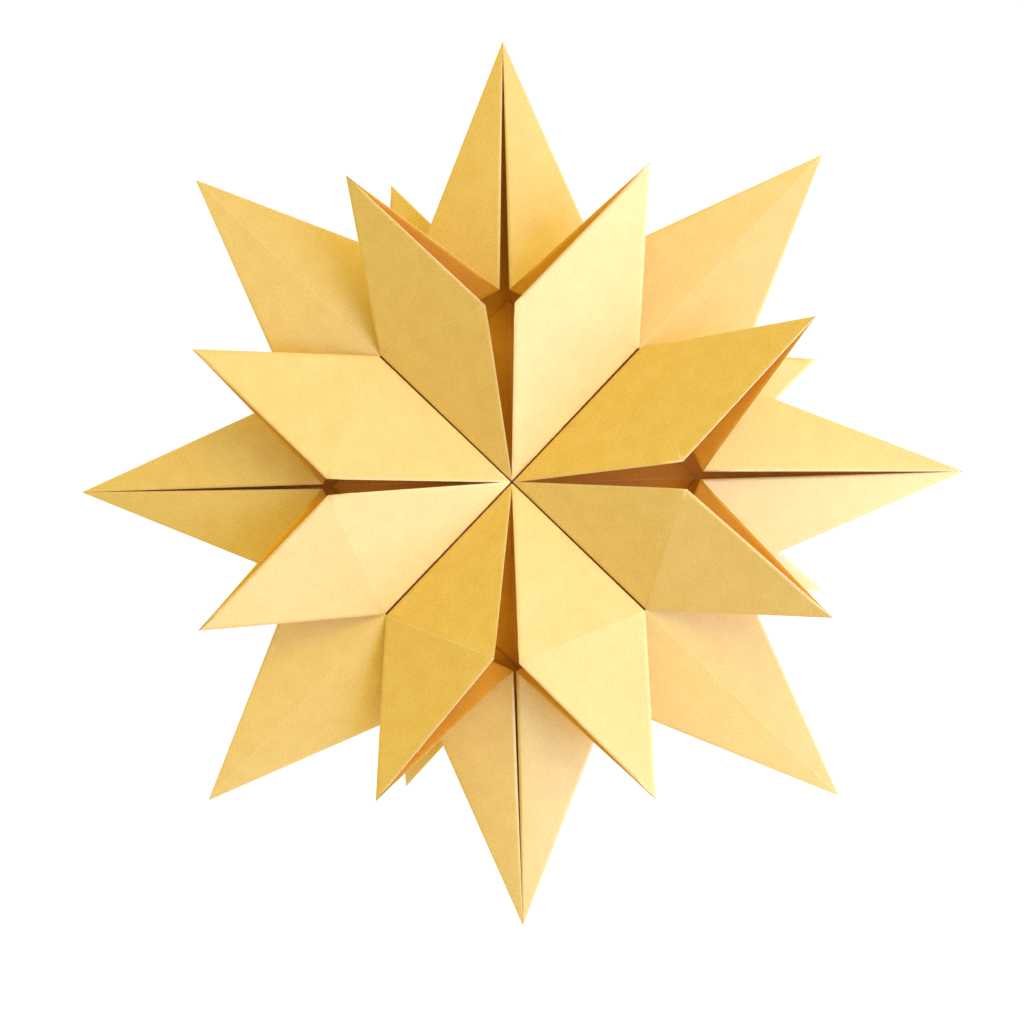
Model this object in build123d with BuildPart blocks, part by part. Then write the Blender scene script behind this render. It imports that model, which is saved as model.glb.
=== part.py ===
"""Star folded from eight square sheets of card.

Four units open to the front and four to the back. They are glued back to back, turned
an eighth of a turn against each other. Each unit is one sheet with the same creases:
a long point covered by two flaps, two raised pockets that end in short points, and the
sheet's last corner tucked inside. The star lies on the short points of its rear units,
with its front towards +Z and its top point towards +Y.
"""

import os
from math import acos, cos, radians, sin, sqrt, tan

from build123d import *

# Driving dimensions, in millimetres and degrees.
sheet = 150  # side of each square sheet, and the reach of each long point
card = 0.3  # thickness of the card
bulge = 1.15  # thickness of a pressed fold, as a share of the layers in it
glue = 0.1  # film between the backs of the front and the rear units
seam = 0.5  # clear gap between neighbouring units
pleat = 1.2  # lean of the ridges and valleys of the units' backs, out of the middle plane
# Each unit's turn from the top, then its left and its right pocket: how far the pocket stands
# open, and the bend at its light crease, which is positive where its point leans out.
front_units = {
    "top": (0, (37.5, 1), (34.5, 2)),
    "right": (-90, (37, 2.5), (33, -4.5)),
    "bottom": (180, (28, -2), (37, -8)),
    "left": (90, (30, -0.5), (26.5, 0.5)),
}
rear_units = {
    "upper_right": (-45, (18, 8), (6, 20)),
    "lower_right": (-135, (24, 0), (21, 7)),
    "lower_left": (135, (28, -4), (24, 0)),
    "upper_left": (45, (28, -4), (24, 0)),
}

# What the crease pattern gives: a fold in the middle of each half of the square's corner angle.
pocket_side = (sqrt(2) - 1) * sheet  # each of the four sides of a pocket's kite
pocket_back = 2 * pocket_side * sin(radians(22.5))  # fold between a flap and its pocket
flap_edge = sheet - pocket_side  # raw edge from the long point to the pocket
pocket_width = pocket_side / sqrt(2)  # from the seam to the raw edge of a pocket
tuck_reach = sheet * (2 - sqrt(2)) / 2  # along the seam to where the tucked corner crosses it

fold_radius = bulge * card / 2
hem_radius = bulge * card
corner_radius = bulge * fold_radius  # where folds meet
unit_shift = (seam + 2 * fold_radius) / sqrt(2)  # each unit's way out from the middle
floor_height = (card + glue) / 2  # middle of the front units' card above the middle plane


def crossing(centres, reaches):
    """The point at three given distances from three points, on the side of the unit's axis."""
    first, second, third = centres
    along = (second - first).normalized()
    reach = along.dot(third - first)
    aside = (third - first - along * reach).normalized()
    rise = aside.dot(third - first)
    x = (reaches[0] ** 2 - reaches[1] ** 2 + (second - first).length ** 2)
    x /= 2 * (second - first).length
    y = (reaches[0] ** 2 - reaches[2] ** 2 + reach**2 + rise**2 - 2 * reach * x) / (2 * rise)
    out = along.cross(aside) * sqrt(reaches[0] ** 2 - x**2 - y**2)
    middle = first + along * x + aside * y
    return min(middle + out, middle - out, key=lambda point: abs(point.X))


def folded_half(lift, bend):
    """Corners of the right half of a folded sheet, from its middle, with the long point up."""
    lean = radians(pleat)
    tip = Vector(0, cos(lean), -sin(lean)) * sheet
    turn = acos((cos(radians(45)) + sin(lean) ** 2) / cos(lean) ** 2)
    seam_way = Vector(sin(turn) * cos(lean), cos(turn) * cos(lean), sin(lean))
    facing = seam_way.cross(tip).normalized()
    inward = facing.cross(seam_way)
    opened = inward * cos(radians(lift)) + facing * sin(radians(lift))
    edge = seam_way * pocket_width + opened * pocket_width
    shoulder = seam_way * pocket_side
    light_crease = Axis(shoulder, edge - shoulder)
    short_tip = shoulder + (edge - shoulder + seam_way * pocket_side).rotate(light_crease, -bend)
    reaches = (pocket_back, flap_edge, pocket_side)
    return {
        "middle": Vector(0, 0, 0),
        "long_tip": tip,
        "shoulder": shoulder,
        "edge": edge,
        "short_tip": short_tip,
        "throat": crossing((shoulder, tip, short_tip), reaches),
        "tuck": seam_way * tuck_reach,
        "corner": tip.normalized() * pocket_side,
    }


def panel(corners, layer=0):
    """One flat facet of the sheet. Layer 1 lies on its face, layer 0 is the facet itself."""
    along = corners[1] - corners[0]
    facing = along.cross(corners[2] - corners[0])
    plane = Plane(origin=corners[0], x_dir=along, z_dir=facing)
    outline = [plane.to_local_coords(corner) for corner in corners]
    with BuildSketch(plane.offset(layer * card)) as facet:
        with BuildLine():
            Polyline(*outline, close=True)
        make_face()
    return facet.sketch


def fold(start, end, radius):
    """The rounded back of a fold from one corner to another."""
    with Locations(Plane(origin=start, z_dir=end - start)):
        Cylinder(radius, (end - start).length, align=(Align.CENTER, Align.CENTER, Align.MIN))


def unit_half(lift, bend):
    """Right half of a folded sheet: back, flap, pocket and tucked corner."""
    at = folded_half(lift, bend)
    middle, tip, shoulder, edge = at["middle"], at["long_tip"], at["shoulder"], at["edge"]
    short_tip, throat, tuck, corner = at["short_tip"], at["throat"], at["tuck"], at["corner"]
    into_pocket = (edge - middle).cross(shoulder - middle).normalized()
    hem = into_pocket * card / 2
    # The inner layer's own fold lies deeper in the pocket's wedge than the outer layer's.
    inset = card / tan(radians(lift / 2)) / pocket_width
    hem_start, tuck_start = middle + (edge - middle) * inset, tuck + (edge - tuck) * inset
    facets = [
        panel([middle, shoulder, tip]),
        panel([middle + (corner - middle) * inset, tuck + (corner - tuck) * inset, corner], layer=1),
        panel([middle, edge, shoulder]),
        panel([edge, short_tip, shoulder]),
        panel([hem_start, edge, tuck_start], layer=1),
        panel([tip, throat, shoulder]),
        panel([throat, shoulder, short_tip]),
    ]
    with BuildPart() as half:
        for facet in facets:
            extrude(facet, amount=card / 2, both=True)
        fold(hem_start + hem, edge + hem, hem_radius)
        fold(hem_start + hem * 2, tuck_start + hem * 2, fold_radius)
        for end in (middle, tip, throat, short_tip, edge):
            fold(shoulder, end, fold_radius)
        with Locations(shoulder):
            Sphere(corner_radius)
    return half.part


def folded_unit(left_pocket, right_pocket):
    """One sheet folded and opened, its middle at the origin and its pockets towards +Z."""
    tip = folded_half(*right_pocket)["long_tip"]
    with BuildPart() as unit:
        add(unit_half(*left_pocket))
        mirror(about=Plane.YZ, mode=Mode.REPLACE)
        add(unit_half(*right_pocket))
        fold(Vector(0, 0, 0), tip, fold_radius)
        with Locations(tip):
            Sphere(corner_radius)
    return unit.part


def place_unit(unit, name, lie, turn):
    """Write a unit, turned about the star's axis and moved out from its middle."""
    with BuildPart() as placed:
        with Locations(Location((0, 0, rest_height), (0, 0, turn)) * lie):
            add(unit)
    placed.part.label = name
    export_step(placed.part, f"parts/{name}.step")


os.makedirs("parts", exist_ok=True)

# The star rests on the short points of its rear units, so their reach sets the height.
rear_pockets = [pocket for turn, left, right in rear_units.values() for pocket in (left, right)]
deepest = max(folded_half(lift, bend)["short_tip"].Z for lift, bend in rear_pockets)
rest_height = deepest + fold_radius + floor_height

facing_front = Location((0, unit_shift, floor_height))
facing_back = Location((0, unit_shift, -floor_height), (0, 180, 0))
for side, (turn, left, right) in front_units.items():
    place_unit(folded_unit(left, right), f"front_unit_{side}", facing_front, turn)
for corner, (turn, left, right) in rear_units.items():
    place_unit(folded_unit(left, right), f"rear_unit_{corner}", facing_back, turn)
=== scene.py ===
"""Star folded from eight square sheets of gold card, lying on a pale floor.

Each unit is one square sheet: it is creased flat, folded by its crease pattern, opened,
given the thickness of card, and set in the place of the frame's unit.
"""

import math

import bmesh
import bpy
from mathutils import Matrix, Vector


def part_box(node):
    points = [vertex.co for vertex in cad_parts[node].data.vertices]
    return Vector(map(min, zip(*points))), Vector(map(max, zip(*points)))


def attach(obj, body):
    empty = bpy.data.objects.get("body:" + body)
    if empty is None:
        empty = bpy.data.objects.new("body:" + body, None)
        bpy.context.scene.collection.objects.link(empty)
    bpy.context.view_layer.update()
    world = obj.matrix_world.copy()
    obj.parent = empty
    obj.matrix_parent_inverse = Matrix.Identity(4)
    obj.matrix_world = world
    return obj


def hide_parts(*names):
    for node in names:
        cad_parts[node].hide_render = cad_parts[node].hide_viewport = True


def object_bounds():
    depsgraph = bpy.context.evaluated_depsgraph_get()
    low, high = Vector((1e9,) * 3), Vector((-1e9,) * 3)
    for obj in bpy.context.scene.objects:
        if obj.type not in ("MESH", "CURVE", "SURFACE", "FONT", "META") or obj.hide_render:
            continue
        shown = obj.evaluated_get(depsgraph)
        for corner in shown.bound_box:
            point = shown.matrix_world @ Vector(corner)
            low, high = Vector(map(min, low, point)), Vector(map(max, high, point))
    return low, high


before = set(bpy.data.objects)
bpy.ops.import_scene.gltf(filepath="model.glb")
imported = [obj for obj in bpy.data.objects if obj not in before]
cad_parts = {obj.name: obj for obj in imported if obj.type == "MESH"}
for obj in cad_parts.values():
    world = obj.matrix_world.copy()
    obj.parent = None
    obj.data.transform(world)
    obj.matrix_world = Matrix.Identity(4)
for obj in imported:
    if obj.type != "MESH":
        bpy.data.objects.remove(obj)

cad_box = [list(corner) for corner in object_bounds()]

MM = 0.001
CARD = 0.3 * MM
GLUE = 0.1 * MM  # film between the backs of the front and the rear units

# The frame gives the rest: each unit's way out from the star's middle, the side of a sheet,
# the height of the star's middle plane, and how far the units' backs lean out of it.
lowest_front = Vector(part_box("front_unit_top")[0])
highest_rear = Vector(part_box("rear_unit_upper_right")[1])
ROUND_PAST_MIDDLE = 0.4 * CARD  # how far a unit's rounded folds reach past its middle
UNIT_SHIFT = lowest_front.y + ROUND_PAST_MIDDLE
SHEET = round(cad_box[1][1] - UNIT_SHIFT, 3)
MIDDLE = (lowest_front.z + highest_rear.z) / 2
LEAN = math.asin((highest_rear.z - lowest_front.z) / 2 / SHEET)

# Pressed card lies closer than the frame's clear gaps, most of all behind, where none shows.
FRONT_SHIFT = 0.88 * UNIT_SHIFT
REAR_SHIFT = 0.45 * UNIT_SHIFT

# Each unit's turn from the top, then how far its left and right pocket stand open and the
# bend at the pocket's light crease, in degrees.
FRONT_UNITS = {
    "front_unit_top": (0, (37.5, 1), (34.5, 2)),
    "front_unit_right": (-90, (37, 2.5), (33, -4.5)),
    "front_unit_bottom": (180, (28, -2), (37, -8)),
    "front_unit_left": (90, (30, -0.5), (26.5, 0.5)),
}
REAR_UNITS = {
    "rear_unit_upper_right": (-45, (18, 8), (6, 20)),
    "rear_unit_lower_right": (-135, (24, 0), (21, 7)),
    "rear_unit_lower_left": (135, (28, -4), (24, 0)),
    "rear_unit_upper_left": (45, (28, -4), (24, 0)),
}

# Creases of half a sheet, as shares of its side. The long point is at 0, 0.
HALF = 1 / math.sqrt(2)
KITE = math.sqrt(2) - 1
CORNERS = {
    "tip": (0, 0),
    "throat": (1 - KITE, 0),
    "short_tip": (1, 0),
    "edge": (1, KITE),
    "tuck": (1, HALF),
    "corner": (1, 1),
    "middle": (HALF, HALF),
    "shoulder": (HALF, 1 - HALF),
}
FACETS = {
    "back": ("middle", "tip", "shoulder"),
    "flap": ("tip", "throat", "shoulder"),
    "wall": ("throat", "short_tip", "shoulder"),
    "outer_kite": ("short_tip", "edge", "shoulder"),
    "inner_kite": ("edge", "middle", "shoulder"),
    "tuck_side": ("middle", "edge", "tuck"),
    "tuck_centre": ("middle", "tuck", "corner"),
}
# Each open facet bows a little, along its own normal or against it.
BOWED = {"flap": 1, "wall": 1, "outer_kite": -1, "inner_kite": -1}
BOW = 0.35 * MM
STRIP = 1.2 * MM  # narrow row of faces along each crease
CUTS = 7  # across each facet, so that it can bow
FOLD = 0.16 * MM  # half the width of a crease's rounded back
HEM = 1.15 * CARD  # from a sheet's middle to that of the corner tucked against it

# A sheet's material slots are its face, its folds, three for the reverse and three for the cut
# edge. The tucked corner shows its reverse. A slot's own reverse and cut edge lie further on.
FOLD_LINE, TUCKED = 1, 2
TO_REVERSE, TO_CUT_EDGE = 2, 5


# ---------------------------------------------------------------- folding


def crossing(centres, reaches):
    """The point at three given distances from three points, nearest the unit's axis."""
    first, second, third = centres
    along = (second - first).normalized()
    reach = along.dot(third - first)
    aside = (third - first - along * reach).normalized()
    rise = aside.dot(third - first)
    gap = (second - first).length
    x = (reaches[0] ** 2 - reaches[1] ** 2 + gap**2) / (2 * gap)
    y = (reaches[0] ** 2 - reaches[2] ** 2 + reach**2 + rise**2 - 2 * reach * x) / (2 * rise)
    out = along.cross(aside) * math.sqrt(reaches[0] ** 2 - x**2 - y**2)
    foot = first + along * x + aside * y
    return min(foot + out, foot - out, key=lambda point: abs(point.x))


def opened_corners(lift, bend):
    """Where the corners of the right half lie once its pocket stands open."""
    tip = Vector((0, math.cos(LEAN), -math.sin(LEAN))) * SHEET
    turn = math.acos((math.cos(math.radians(45)) + math.sin(LEAN) ** 2) / math.cos(LEAN) ** 2)
    seam = Vector((math.sin(turn) * math.cos(LEAN), math.cos(turn) * math.cos(LEAN), math.sin(LEAN)))
    facing = seam.cross(tip).normalized()
    inward = facing.cross(seam)
    opened = inward * math.cos(math.radians(lift)) + facing * math.sin(math.radians(lift))
    width = (1 - HALF) * SHEET
    side = KITE * SHEET
    shoulder = seam * side
    edge = seam * width + opened * width
    crease = (edge - shoulder).normalized()
    swing = Matrix.Rotation(math.radians(-bend), 3, crease)
    short_tip = shoulder + swing @ (opened * width + seam * width)
    throat = crossing(
        (shoulder, tip, short_tip),
        (2 * side * math.sin(math.radians(22.5)), SHEET - side, side),
    )
    return {
        "tip": tip,
        "throat": throat,
        "short_tip": short_tip,
        "edge": edge,
        "middle": Vector(),
        "shoulder": shoulder,
        "seam": seam,
        "facing": facing,
        "inward": inward,
        "opened": opened,
        "lift": math.radians(lift),
    }


def shares(point, triangle):
    """Barycentric shares of a flat point in a facet."""
    (ax, ay), (bx, by), (cx, cy) = (CORNERS[name] for name in triangle)
    area = (bx - ax) * (cy - ay) - (cx - ax) * (by - ay)
    second = ((point[0] - ax) * (cy - ay) - (cx - ax) * (point[1] - ay)) / area
    third = ((bx - ax) * (point[1] - ay) - (point[0] - ax) * (by - ay)) / area
    return 1 - second - third, second, third


def fold_point(point, facet, at):
    """Where a flat point of the right half lies once it is folded."""
    if facet.startswith("tuck"):
        # The hem turns the corner over, so u and v swap about the hem line.
        u, v = 2 * HALF - point[1], 2 * HALF - point[0]
        along = (HALF - v) * SHEET
        if facet == "tuck_side":
            across = (u - HALF) * SHEET
            from_hem = (along - across) * HALF
            plane, normal = at["opened"], at["opened"].cross(at["seam"])
        else:
            across = (HALF - u) * SHEET
            from_hem = along * HALF
            plane, normal = at["inward"], at["facing"]
        layer = HEM * min(1, max(0, from_hem) / STRIP)
        inset = layer / math.tan(at["lift"] / 2)
        width = (1 - HALF) * SHEET
        across = inset + across * (width - inset) / width
        return at["seam"] * along + plane * across + normal * layer
    weights = shares(point, FACETS[facet])
    corners = [at[name] for name in FACETS[facet]]
    place = sum((corner * share for corner, share in zip(corners, weights)), Vector())
    normal = (corners[1] - corners[0]).cross(corners[2] - corners[0]).normalized()
    # The product of the three shares is 0 on the creases and a 27th in a facet's middle.
    crown = 27 * weights[0] * weights[1] * weights[2]
    return place + normal * BOW * crown * BOWED.get(facet, 0)


def creased_sheet():
    """A flat square sheet with its creases. Its faces know their facet and their half."""
    bm = bmesh.new()
    facet_of = bm.faces.layers.int.new("facet")
    verts = {}

    def vert(u, v):
        key = (round(u, 6), round(v, 6))
        if key not in verts:
            verts[key] = bm.verts.new((u * SHEET, v * SHEET, 0))
        return verts[key]

    for number, names in enumerate(FACETS.values()):
        flat = [CORNERS[name] for name in names]
        for half, points in enumerate((flat, [(v, u) for u, v in reversed(flat)])):
            face = bm.faces.new([vert(*point) for point in points])
            face[facet_of] = 2 * number + half
    bmesh.ops.recalc_face_normals(bm, faces=bm.faces)
    if sum(face.normal.z for face in bm.faces) < 0:
        bmesh.ops.reverse_faces(bm, faces=bm.faces)
    bmesh.ops.inset_individual(bm, faces=bm.faces[:], thickness=STRIP, use_even_offset=True)
    long_edges = [edge for edge in bm.edges if edge.calc_length() > 3 * STRIP]
    bmesh.ops.subdivide_edges(bm, edges=long_edges, cuts=CUTS, use_grid_fill=True)
    bmesh.ops.triangulate(bm, faces=[face for face in bm.faces if len(face.verts) > 4])
    return bm


def folded_unit(name, left, right, place):
    """One sheet folded, opened and given its thickness, in its place in the star."""
    bm = creased_sheet()
    facet_of = bm.faces.layers.int["facet"]
    uv = bm.loops.layers.uv.new("sheet")
    for face in bm.faces:
        for loop in face.loops:
            loop[uv].uv = loop.vert.co.xy / SHEET
    names = list(FACETS)
    halves = (opened_corners(*right), opened_corners(*left))
    folded = {}
    for face in bm.faces:
        number, half = divmod(face[facet_of], 2)
        for vert in face.verts:
            u, v = vert.co.xy / SHEET
            if half:
                u, v = v, u
            spot = fold_point((u, v), names[number], halves[half])
            if half:
                spot.x = -spot.x
            # A point on the hem lies where its pocket puts it, not the tucked corner.
            if vert not in folded or not names[number].startswith("tuck"):
                folded[vert] = spot
    # A crease keeps its sharp end where it runs out at the corner of a pocket's raw edge.
    ends = [Vector(spot) * SHEET for spot in ((1, KITE), (KITE, 1))]
    creases = [
        edge
        for edge in bm.edges
        if len(edge.link_faces) == 2
        and edge.link_faces[0][facet_of] != edge.link_faces[1][facet_of]
        and min((vert.co.xy - end).length for vert in edge.verts for end in ends) > 0.1 * STRIP
    ]
    for vert, spot in folded.items():
        vert.co = spot
    bm.normal_update()
    for face in bm.faces:
        if names[face[facet_of] // 2].startswith("tuck"):
            face.material_index = TUCKED
    made = bmesh.ops.bevel(
        bm,
        geom=creases,
        offset=FOLD,
        offset_type="OFFSET",
        segments=2,
        profile=0.5,
        affect="EDGES",
        clamp_overlap=True,
        material=-1,
    )
    for face in made["faces"]:
        face.material_index = FOLD_LINE
    for face in bm.faces:
        face.smooth = True
    bmesh.ops.transform(bm, matrix=place, verts=bm.verts)
    mesh = bpy.data.meshes.new(name + "_sheet")
    bm.to_mesh(mesh)
    bm.free()
    mesh.set_sharp_from_angle(angle=math.radians(25))
    piece = bpy.data.objects.new(name + "_sheet", mesh)
    bpy.context.collection.objects.link(piece)
    for material in (GOLD_CARD, WORN_FOLD) + (REVERSE,) * 3 + (CUT_EDGE,) * 3:
        mesh.materials.append(material)
    wall = piece.modifiers.new("card", "SOLIDIFY")
    wall.thickness = CARD
    wall.offset = 0
    wall.use_rim = True
    wall.material_offset = TO_REVERSE
    wall.material_offset_rim = TO_CUT_EDGE
    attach(piece, "root")
    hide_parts(name)


# ---------------------------------------------------------------- materials


def linear(hex_colour):
    """An sRGB hex value as linear red, green, blue and alpha."""
    parts = [int(hex_colour[i : i + 2], 16) / 255 for i in (1, 3, 5)]
    curved = [part / 12.92 if part <= 0.04045 else ((part + 0.055) / 1.055) ** 2.4 for part in parts]
    return (*curved, 1)


def add_node(tree, kind, settings=None, inputs=None):
    """A node with its settings, and its inputs set or linked."""
    node = tree.nodes.new(kind)
    for key, value in (settings or {}).items():
        setattr(node, key, value)
    for key, value in (inputs or {}).items():
        if isinstance(value, bpy.types.NodeSocket):
            tree.links.new(value, node.inputs[key])
        else:
            node.inputs[key].default_value = value
    return node


def card_material(name, base, pale, roughness, speckle, gloss=0.5):
    """Craft card dyed through: matt, with a fine speckle of fibres and a soft cloudiness.

    The grain and the fibres are drawn several times coarser than real ones, so that they show.
    """
    material = bpy.data.materials.new(name)
    material.use_nodes = True
    tree = material.node_tree
    shader = tree.nodes["Principled BSDF"]
    sheet = add_node(tree, "ShaderNodeUVMap", {"uv_map": "sheet"})
    grain_size, fibre_size, cloud_size = 0.55 * MM, 0.45 * MM, 7 * MM
    fibre_share, cloud_share = 0.45, 0.35
    even = (1 + fibre_share + cloud_share) / 2
    spread = 0.5 / speckle
    grain = add_node(
        tree,
        "ShaderNodeTexNoise",
        {"noise_dimensions": "2D"},
        {"Vector": sheet.outputs["UV"], "Scale": SHEET / grain_size, "Detail": 2, "Roughness": 0.7},
    )
    stretch = add_node(
        tree,
        "ShaderNodeMapping",
        {},
        {"Vector": sheet.outputs["UV"], "Scale": (1, 0.22, 1)},
    )
    fibre = add_node(
        tree,
        "ShaderNodeTexNoise",
        {"noise_dimensions": "2D"},
        {
            "Vector": stretch.outputs["Vector"],
            "Scale": SHEET / fibre_size,
            "Detail": 3,
            "Distortion": 0.6,
        },
    )
    cloud = add_node(
        tree,
        "ShaderNodeTexNoise",
        {"noise_dimensions": "2D"},
        {"Vector": sheet.outputs["UV"], "Scale": SHEET / cloud_size, "Detail": 3},
    )
    flecks = add_node(
        tree,
        "ShaderNodeMath",
        {"operation": "MULTIPLY_ADD"},
        {0: fibre.outputs["Fac"], 1: fibre_share, 2: grain.outputs["Fac"]},
    )
    mixed = add_node(
        tree,
        "ShaderNodeMath",
        {"operation": "MULTIPLY_ADD"},
        {0: cloud.outputs["Fac"], 1: cloud_share, 2: flecks.outputs["Value"]},
    )
    share = add_node(
        tree,
        "ShaderNodeMapRange",
        {},
        {"Value": mixed.outputs["Value"], "From Min": even - spread, "From Max": even + spread},
    )
    colour = add_node(
        tree,
        "ShaderNodeMix",
        {"data_type": "RGBA"},
        {"Factor": share.outputs["Result"], "A": linear(base), "B": linear(pale)},
    )
    bump = add_node(
        tree,
        "ShaderNodeBump",
        {},
        {"Height": flecks.outputs["Value"], "Strength": 0.25, "Distance": 0.03 * MM},
    )
    tree.links.new(colour.outputs["Result"], shader.inputs["Base Color"])
    tree.links.new(bump.outputs["Normal"], shader.inputs["Normal"])
    shader.inputs["Roughness"].default_value = roughness
    shader.inputs["Specular IOR Level"].default_value = gloss
    return material


# Dyed craft card, calendered: a clear yellow, with a soft pale haze where it faces a light.
GOLD_CARD = card_material("gold_craft_card", "#E5B42E", "#EFC347", 0.74, 4.6)
# The card's unpressed side, inside the pockets: no haze, so that it glows deep orange there.
REVERSE = card_material("matt_reverse_of_card", "#EBA61E", "#F4B62E", 0.95, 4, 0.1)
# Fibres broken by creasing: a thin paler line along each fold.
WORN_FOLD = card_material("worn_fold_of_card", "#EAC560", "#F2D27A", 0.76, 2)
# The core of the card, where the knife went through it: cream, and pale against the face.
CUT_EDGE = card_material("cut_edge_of_card", "#EBC67C", "#F3D794", 0.8, 1.0)


def plain_material(name, colour, gloss=0.5):
    """A matt surface of one even colour."""
    material = bpy.data.materials.new(name)
    material.use_nodes = True
    shader = material.node_tree.nodes["Principled BSDF"]
    shader.inputs["Base Color"].default_value = linear(colour)
    shader.inputs["Roughness"].default_value = 0.9
    shader.inputs["Specular IOR Level"].default_value = gloss
    return material


# ---------------------------------------------------------------- star

star_middle = Vector((0, 0, MIDDLE))


def set_out(units, facing, shift, height):
    """Fold each unit and set it in its place round the star's middle."""
    for name, (turn, left, right) in units.items():
        turned = Matrix.Translation(star_middle) @ Matrix.Rotation(math.radians(turn), 4, "Z")
        folded_unit(name, left, right, turned @ Matrix.Translation((0, shift, height)) @ facing)


set_out(FRONT_UNITS, Matrix.Identity(4), FRONT_SHIFT, (CARD + GLUE) / 2)
set_out(REAR_UNITS, Matrix.Rotation(math.pi, 4, "Y"), REAR_SHIFT, -(CARD + GLUE) / 2)


def seam_shade_strips():
    """Dark red-brown strips along the bottom of the four seams between the front units: painted
    shade for the shadow deep in the seams.
    """
    length, width, depth = KITE * SHEET, 1.4 * MM, GLUE / 2
    run = Matrix.Translation((length / 2, 0, 0)) @ Matrix.Diagonal((length, width, depth, 1))
    bm = bmesh.new()
    for seam in (45, 135, 225, 315):
        lie = Matrix.Rotation(math.radians(seam), 4, "Z") @ Matrix.Rotation(-LEAN, 4, "Y")
        bmesh.ops.create_cube(bm, size=1, matrix=Matrix.Translation(star_middle) @ lie @ run)
    mesh = bpy.data.meshes.new("seam_shade_strips")
    bm.to_mesh(mesh)
    bm.free()
    # Painted shade: a dark red-brown line without shine in the narrow seam gap, where there is only
    # shadow.
    mesh.materials.append(plain_material("painted_seam_shade", "#702C06", 0.05))
    lines = bpy.data.objects.new("seam_shade_strips", mesh)
    bpy.context.collection.objects.link(lines)
    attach(lines, "root")


seam_shade_strips()


# ---------------------------------------------------------------- floor, light and camera


FLOOR_REACH = 3  # metres from the star's middle to the floor's edges
floor_bm = bmesh.new()
bmesh.ops.create_grid(floor_bm, x_segments=1, y_segments=1, size=FLOOR_REACH)
floor_mesh = bpy.data.meshes.new("floor")
floor_bm.to_mesh(floor_mesh)
floor_bm.free()
floor = bpy.data.objects.new("floor", floor_mesh)
bpy.context.collection.objects.link(floor)
# Opal acrylic lit from below: pure white, and bright enough to hold no shadow.
table_top = plain_material("backlit_white_acrylic", "#404040")
lit = table_top.node_tree.nodes["Principled BSDF"]
lit.inputs["Emission Color"].default_value = (1, 1, 1, 1)
lit.inputs["Emission Strength"].default_value = 1.0
floor_mesh.materials.append(table_top)

world = bpy.data.worlds.new("studio")
bpy.context.scene.world = world
world.use_nodes = True
sky = world.node_tree
# The room is bright all round and dim straight above, where the viewer stands.
direction = add_node(sky, "ShaderNodeTexCoord")
height = add_node(sky, "ShaderNodeSeparateXYZ", {}, {"Vector": direction.outputs["Generated"]})
level = add_node(
    sky,
    "ShaderNodeMapRange",
    {"interpolation_type": "SMOOTHSTEP"},
    {
        "Value": height.outputs["Z"],
        "From Min": 0.55,
        "From Max": 0.95,
        "To Min": 0.95,
        "To Max": 0.51,
    },
)
sky.nodes["Background"].inputs["Color"].default_value = (1, 1, 1, 1)
sky.links.new(level.outputs["Result"], sky.nodes["Background"].inputs["Strength"])


def softbox(name, place, size, power):
    """A square light that faces the middle of the star."""
    light = bpy.data.lights.new(name, "AREA")
    light.shape = "SQUARE"
    light.size = size
    light.energy = power
    box = bpy.data.objects.new(name, light)
    box.location = place
    box.rotation_mode = "QUATERNION"
    box.rotation_quaternion = (star_middle - Vector(place)).to_track_quat("-Z", "Y")
    bpy.context.collection.objects.link(box)
    return box


softbox("side_softbox", place=(0.7, 1.0, 1.0), size=0.9, power=9)
# This panel gives only the pale haze on the card that leans towards it.
gloss_panel = softbox("gloss_panel", place=(0.98, -0.28, 0.66), size=1.0, power=235)
gloss_panel.visible_diffuse = False

# The viewer stands above the star, a little to its right, and looks below its middle.
camera_data = bpy.data.cameras.new("camera")
camera_data.sensor_width = 36
camera_data.lens = 55.5
camera_data.shift_y = -0.032
distance = 3.587 * SHEET
aside, above, roll = (math.radians(angle) for angle in (4.75, -0.6, 1.32))
back = Vector((math.sin(aside), math.sin(above), 0))
back.z = math.sqrt(1 - back.x**2 - back.y**2)
side = Vector((math.sin(roll), math.cos(roll), 0)).cross(back).normalized()
camera = bpy.data.objects.new("camera", camera_data)
camera.location = star_middle + back * distance
camera.rotation_euler = Matrix((side, back.cross(side), back)).transposed().to_euler()
bpy.context.collection.objects.link(camera)
bpy.context.scene.camera = camera
bpy.context.scene.view_settings.view_transform = "Standard"
